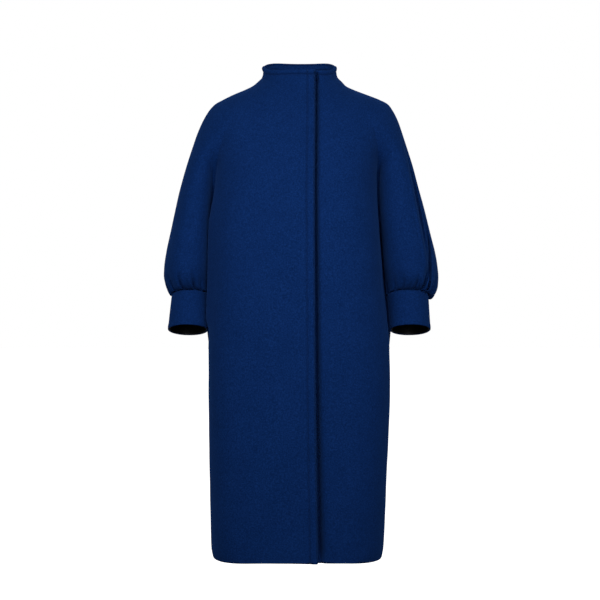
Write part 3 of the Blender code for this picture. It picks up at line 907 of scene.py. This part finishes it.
def add_stitches(mesh, path):
    """Short threads along a path, with their ends sunk into the cloth."""
    walked = 0
    for (start, out), (end, _) in zip(path, path[1:]):
        span = (end - start).length / MM
        if span > STITCH_BREAK:
            continue
        along = (end - start).normalized()
        across = along.cross(out).normalized()
        first = math.ceil(walked / STITCH_PITCH) * STITCH_PITCH
        while first < walked + span:
            middle = start + along * (first - walked) * MM
            rings = []
            for share, size, rise in THREAD:
                centre = middle + along * (share - 0.5) * STITCH_LENGTH * MM + out * rise * MM
                ring = []
                for step in range(THREAD_SIDES):
                    a = 2 * math.pi * step / THREAD_SIDES
                    ring.append(mesh.verts.new(centre + (across * math.cos(a) + out * math.sin(a))
                                               * size * MM))
                rings.append(ring)
            for above, below in zip(rings, rings[1:]):
                for index in range(THREAD_SIDES):
                    after = (index + 1) % THREAD_SIDES
                    mesh.faces.new([above[index], above[after], below[after], below[index]])
            mesh.faces.new(rings[0][::-1])
            mesh.faces.new(rings[-1])
            first += STITCH_PITCH
        walked += span


def stitches(skin, finish):
    """The rows of topstitching beside the front edge and under the collar's rim."""
    threads = bmesh.new()
    add_stitches(threads, stitch_path(skin, 0, "edge", EDGE_STITCH))
    for piece in range(len(PIECES)):
        add_stitches(threads, stitch_path(skin, piece, "rim", RIM_STITCH))
    bmesh.ops.recalc_face_normals(threads, faces=threads.faces[:])
    return add_object("topstitching", threads, finish)


def band_skin(rings):
    """The outer surface of a closed band, from its rings of points."""
    skin = bmesh.new()
    made = [[skin.verts.new(point) for point in ring] for ring in rings]
    for above, below in zip(made, made[1:]):
        for index in range(len(above)):
            after = (index + 1) % len(above)
            skin.faces.new([above[index], above[after], below[after], below[index]])
    skin.verts.index_update()
    skin.normal_update()
    return skin


def cuff_ring(side, down, grow=0):
    """A ring of points round a cuff, at a distance down its slanting length."""
    rim = row_at(CUFF, max(0, min(1, down / CUFF_HEIGHT)))
    inner, outer = of_side(rim, "in", side) - grow, of_side(rim, "out", side) + grow
    depth = rim.depth + grow
    lean = math.radians(CUFF_TILT)
    middle_y = SLEEVE[-1].middle - down * math.sin(lean)
    middle_z = SLEEVE[-1].z - down * math.cos(lean)
    middle, radius = (inner + outer) / 2, (outer - inner) / 2
    ring = []
    for step in range(2 * CUFF_COLUMNS):
        turn = math.pi * step / CUFF_COLUMNS
        across = middle - radius * math.cos(turn)
        ahead = depth * math.sin(turn)
        point = (SIDES[side] * across, middle_y - ahead, middle_z + ahead * math.tan(lean))
        wave = noise.noise(Vector(point) / CUFF_WAVE)
        ring.append(Vector(point) * MM + Vector((0, 0, wave * CUFF_WAVE_HEIGHT * MM)))
    return ring if side == "right" else ring[::-1]


def cuff(side, finish):
    """The band that the sleeve is gathered into."""
    rings = []
    for down in CUFF_ROWS:
        grow = CUFF_PUFF * math.exp(-((down - CUFF_PUFF_AT) / CUFF_PUFF_WIDTH) ** 2)
        grow -= CUFF_SEAM * math.exp(-(down / CUFF_SEAM_WIDTH) ** 2)
        rings.append(cuff_ring(side, down, grow))
    skin = band_skin(rings)
    made = thick_piece("cuff_" + side + "_cloth", skin, 0, WALL, finish)
    skin.free()
    return made


def cuff_lining(side, finish):
    """The dark lining that shows inside the cuff's lower rim."""
    skin = band_skin([cuff_ring(side, down, -WALL - LINING_CLEARANCE) for down in LINING_ROWS])
    made = thick_piece("cuff_lining_" + side + "_cloth", skin, 0, LINING_WALL, finish)
    skin.free()
    return made


def link(tree, source, output, target, socket):
    """Joins one node's output to another's input."""
    tree.links.new(source.outputs[output], target.inputs[socket])


def noise_node(tree, scale, detail, roughness):
    """A noise texture over the object's own coordinates."""
    made = tree.nodes.new("ShaderNodeTexNoise")
    made.inputs["Scale"].default_value = scale
    made.inputs["Detail"].default_value = detail
    made.inputs["Roughness"].default_value = roughness
    link(tree, tree.nodes["Place"], "Object", made, "Vector")
    return made


def new_material(name):
    """A material with an empty Principled shader and object coordinates."""
    made = bpy.data.materials.new(name)
    made.use_nodes = True
    tree = made.node_tree
    place_node = tree.nodes.new("ShaderNodeTexCoord")
    place_node.name = "Place"
    return made, tree, tree.nodes["Principled BSDF"]


def ramp_node(tree, stops):
    """A colour ramp from (position, colour) stops."""
    made = tree.nodes.new("ShaderNodeValToRGB")
    ramp = made.color_ramp
    while len(ramp.elements) < len(stops):
        ramp.elements.new(0.5)
    for element, (position, colour) in zip(ramp.elements, stops):
        element.position = position
        element.color = (*colour, 1)
    return made


def bump_node(tree, height, strength, distance, before=None):
    """A bump from a height, on top of an earlier bump."""
    made = tree.nodes.new("ShaderNodeBump")
    made.inputs["Strength"].default_value = strength
    made.inputs["Distance"].default_value = distance
    link(tree, height, 0, made, "Height")
    if before:
        link(tree, before, "Normal", made, "Normal")
    return made


def wool_material():
    """Felted wool: mottled colour, a short nap and a soft sheen."""
    made, tree, shader = new_material("wool")
    nap = noise_node(tree, scale=380, detail=4, roughness=0.65)
    cloud = noise_node(tree, scale=22, detail=3, roughness=0.5)
    both = tree.nodes.new("ShaderNodeMix")
    both.inputs["Factor"].default_value = 0.1
    link(tree, nap, "Fac", both, "A")
    link(tree, cloud, "Fac", both, "B")
    tones = ramp_node(tree, [(0.35, WOOL_DARK), (0.5, WOOL_MID), (0.65, WOOL_LIGHT)])
    link(tree, both, "Result", tones, "Fac")
    link(tree, tones, "Color", shader, "Base Color")
    fibres = noise_node(tree, scale=1300, detail=3, roughness=0.6)
    felt = noise_node(tree, scale=260, detail=4, roughness=0.6)
    first = bump_node(tree, felt, strength=0.35, distance=0.0012)
    second = bump_node(tree, fibres, strength=0.3, distance=0.0004, before=first)
    link(tree, second, "Normal", shader, "Normal")
    shader.inputs["Roughness"].default_value = 0.95
    shader.inputs["Specular IOR Level"].default_value = 0
    shader.inputs["Sheen Weight"].default_value = 0.16
    shader.inputs["Sheen Roughness"].default_value = 0.5
    shader.inputs["Sheen Tint"].default_value = WOOL_SHEEN
    return made


def thread_material():
    """Matching thread, a little smoother than the wool."""
    made, tree, shader = new_material("thread")
    twist = noise_node(tree, scale=1800, detail=2, roughness=0.5)
    tones = ramp_node(tree, [(0.3, THREAD_DARK), (0.7, THREAD_LIGHT)])
    link(tree, twist, "Fac", tones, "Fac")
    link(tree, tones, "Color", shader, "Base Color")
    twisted = bump_node(tree, twist, strength=0.4, distance=0.0002)
    link(tree, twisted, "Normal", shader, "Normal")
    shader.inputs["Roughness"].default_value = 0.8
    shader.inputs["Specular IOR Level"].default_value = 0.1
    return made


def lining_material():
    """Dark, smooth lining with a fine weave."""
    made, tree, shader = new_material("lining")
    shade = noise_node(tree, scale=60, detail=3, roughness=0.5)
    tones = ramp_node(tree, [(0.3, LINING_DARK), (0.7, LINING_LIGHT)])
    link(tree, shade, "Fac", tones, "Fac")
    link(tree, tones, "Color", shader, "Base Color")
    weave = tree.nodes.new("ShaderNodeTexWave")
    weave.inputs["Scale"].default_value = 900
    link(tree, tree.nodes["Place"], "Object", weave, "Vector")
    woven = bump_node(tree, weave, strength=0.1, distance=0.0002)
    link(tree, woven, "Normal", shader, "Normal")
    shader.inputs["Roughness"].default_value = 0.5
    shader.inputs["Specular IOR Level"].default_value = 0.2
    return made


def add_light(name, place_m, aim, size, power):
    """A soft square light that faces a point."""
    data = bpy.data.lights.new(name, "AREA")
    data.size = size
    data.energy = power
    made = bpy.data.objects.new(name, data)
    made.location = place_m
    made.rotation_euler = (Vector(aim) - Vector(place_m)).to_track_quat("-Z", "Y").to_euler()
    made.visible_camera = False
    bpy.context.scene.collection.objects.link(made)


def add_camera():
    """A level camera straight ahead of the coat."""
    data = bpy.data.cameras.new("camera")
    data.angle = 2 * math.atan(FRAME_WIDTH / 2 / -CAMERA_PLACE[1])
    camera = bpy.data.objects.new("camera", data)
    camera.location = CAMERA_PLACE
    camera.rotation_euler = (math.pi / 2, 0, 0)
    bpy.context.scene.collection.objects.link(camera)
    bpy.context.scene.camera = camera


def add_floor():
    """A white floor that casts no light on the coat."""
    shape = bmesh.new()
    corners = [(-FLOOR_HALF, -FLOOR_HALF), (FLOOR_HALF, -FLOOR_HALF), (FLOOR_HALF, FLOOR_HALF),
               (-FLOOR_HALF, FLOOR_HALF)]
    shape.faces.new([shape.verts.new((x, y, FLOOR_Z)) for x, y in corners])
    pale, _, shader = new_material("floor")
    shader.inputs["Base Color"].default_value = (0.85, 0.85, 0.86, 1)
    shader.inputs["Roughness"].default_value = 0.9
    shader.inputs["Emission Color"].default_value = WHITE
    shader.inputs["Emission Strength"].default_value = 1.1
    floor = add_object("floor", shape, pale)
    floor.visible_diffuse = False
    floor.visible_glossy = False


def add_surround():
    """A surround that is white to the camera and dim to the coat."""
    world = bpy.data.worlds.new("surround")
    bpy.context.scene.world = world
    world.use_nodes = True
    tree = world.node_tree
    seen = tree.nodes.new("ShaderNodeLightPath")
    level = tree.nodes.new("ShaderNodeMix")
    level.inputs["A"].default_value = 0.2
    level.inputs["B"].default_value = 1
    link(tree, seen, "Is Camera Ray", level, "Factor")
    link(tree, level, "Result", tree.nodes["Background"], "Strength")
    tree.nodes["Background"].inputs["Color"].default_value = WHITE


def add_studio():
    """Camera, floor, surround and soft lights."""
    add_camera()
    add_floor()
    add_surround()
    add_light("key", place_m=(-0.35, -1.4, 0.15), aim=(0, 0, -0.3), size=0.8, power=14.3)
    add_light("fill", place_m=(0.5, -1.65, 0.08), aim=(0, 0, -0.3), size=0.9, power=15)
    add_light("behind", place_m=(0.3, 2.4, 0.5), aim=(0, 0, -0.4), size=1.6, power=30)
    bpy.context.scene.view_settings.view_transform = "Standard"


def main():
    """Builds the coat's pieces and the studio."""
    wool, thread, lining = wool_material(), thread_material(), lining_material()
    skin = coat_skin()
    even_out(skin)
    shape_skin(skin)
    made = {name: thick_piece(name + "_cloth", skin, index, WALL, wool)
            for index, name in enumerate(PIECES)}
    threads = stitches(skin, thread)
    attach(threads, "root")
    skin.free()
    for side in SIDES:
        made["cuff_" + side] = cuff(side, wool)
        made["cuff_lining_" + side] = cuff_lining(side, lining)
    for name, piece in made.items():
        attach(piece, "root")
        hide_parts(name)
    add_studio()


main()
